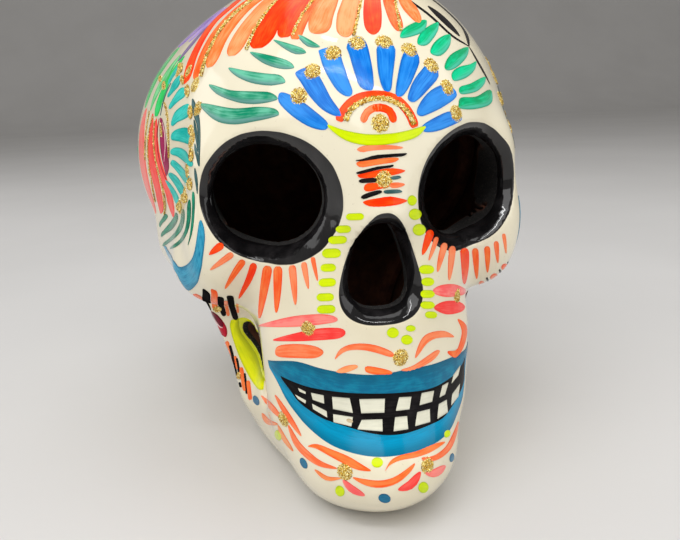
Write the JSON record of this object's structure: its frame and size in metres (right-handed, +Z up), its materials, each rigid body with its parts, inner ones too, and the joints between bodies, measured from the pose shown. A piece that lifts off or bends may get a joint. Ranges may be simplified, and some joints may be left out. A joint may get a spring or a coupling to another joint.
{
  "type": "decorative ceramic skull",
  "caption": "Hollow painted clay skull with open eyes and nose, a grinning painted mouth, slotted side recesses and a flat base.",
  "frame": {"origin": "on the floor, under the middle of the bounding box", "axes": "+Z up, the face looks along -Y, +X is the viewer's right seen from the front"},
  "size_m": [0.1108, 0.15, 0.1273],
  "materials": {
    "glaze": "glossy painted glaze over clay",
    "clay": "bare matte clay",
    "gold_glitter": "gold glitter in clear glue"
  },
  "bodies": {
    "root": {"face_shell": "glaze", "cranium_shell": "glaze", "seam_coil": "clay", "gold_dab_01": "gold_glitter", "gold_dab_02": "gold_glitter", "gold_dab_03": "gold_glitter", "gold_dab_04": "gold_glitter", "gold_dab_05": "gold_glitter", "gold_dab_06": "gold_glitter", "gold_dab_07": "gold_glitter", "gold_dab_08": "gold_glitter", "gold_dab_09": "gold_glitter", "gold_dab_10": "gold_glitter", "gold_dab_11": "gold_glitter", "gold_dab_12": "gold_glitter", "gold_dab_13": "gold_glitter", "gold_dab_14": "gold_glitter", "gold_dab_15": "gold_glitter", "gold_dab_16": "gold_glitter", "gold_dab_17": "gold_glitter", "gold_dab_18": "gold_glitter", "gold_dab_19": "gold_glitter", "gold_dab_20": "gold_glitter", "gold_dab_21": "gold_glitter", "gold_dab_22": "gold_glitter", "gold_dab_23": "gold_glitter", "gold_dab_24": "gold_glitter", "gold_dab_25": "gold_glitter", "gold_dab_26": "gold_glitter", "gold_dab_27": "gold_glitter", "gold_dab_28": "gold_glitter", "gold_dab_29": "gold_glitter", "gold_dab_30": "gold_glitter", "gold_dab_31": "gold_glitter", "gold_dab_32": "gold_glitter", "gold_dab_33": "gold_glitter"}
  },
  "joints": []
}
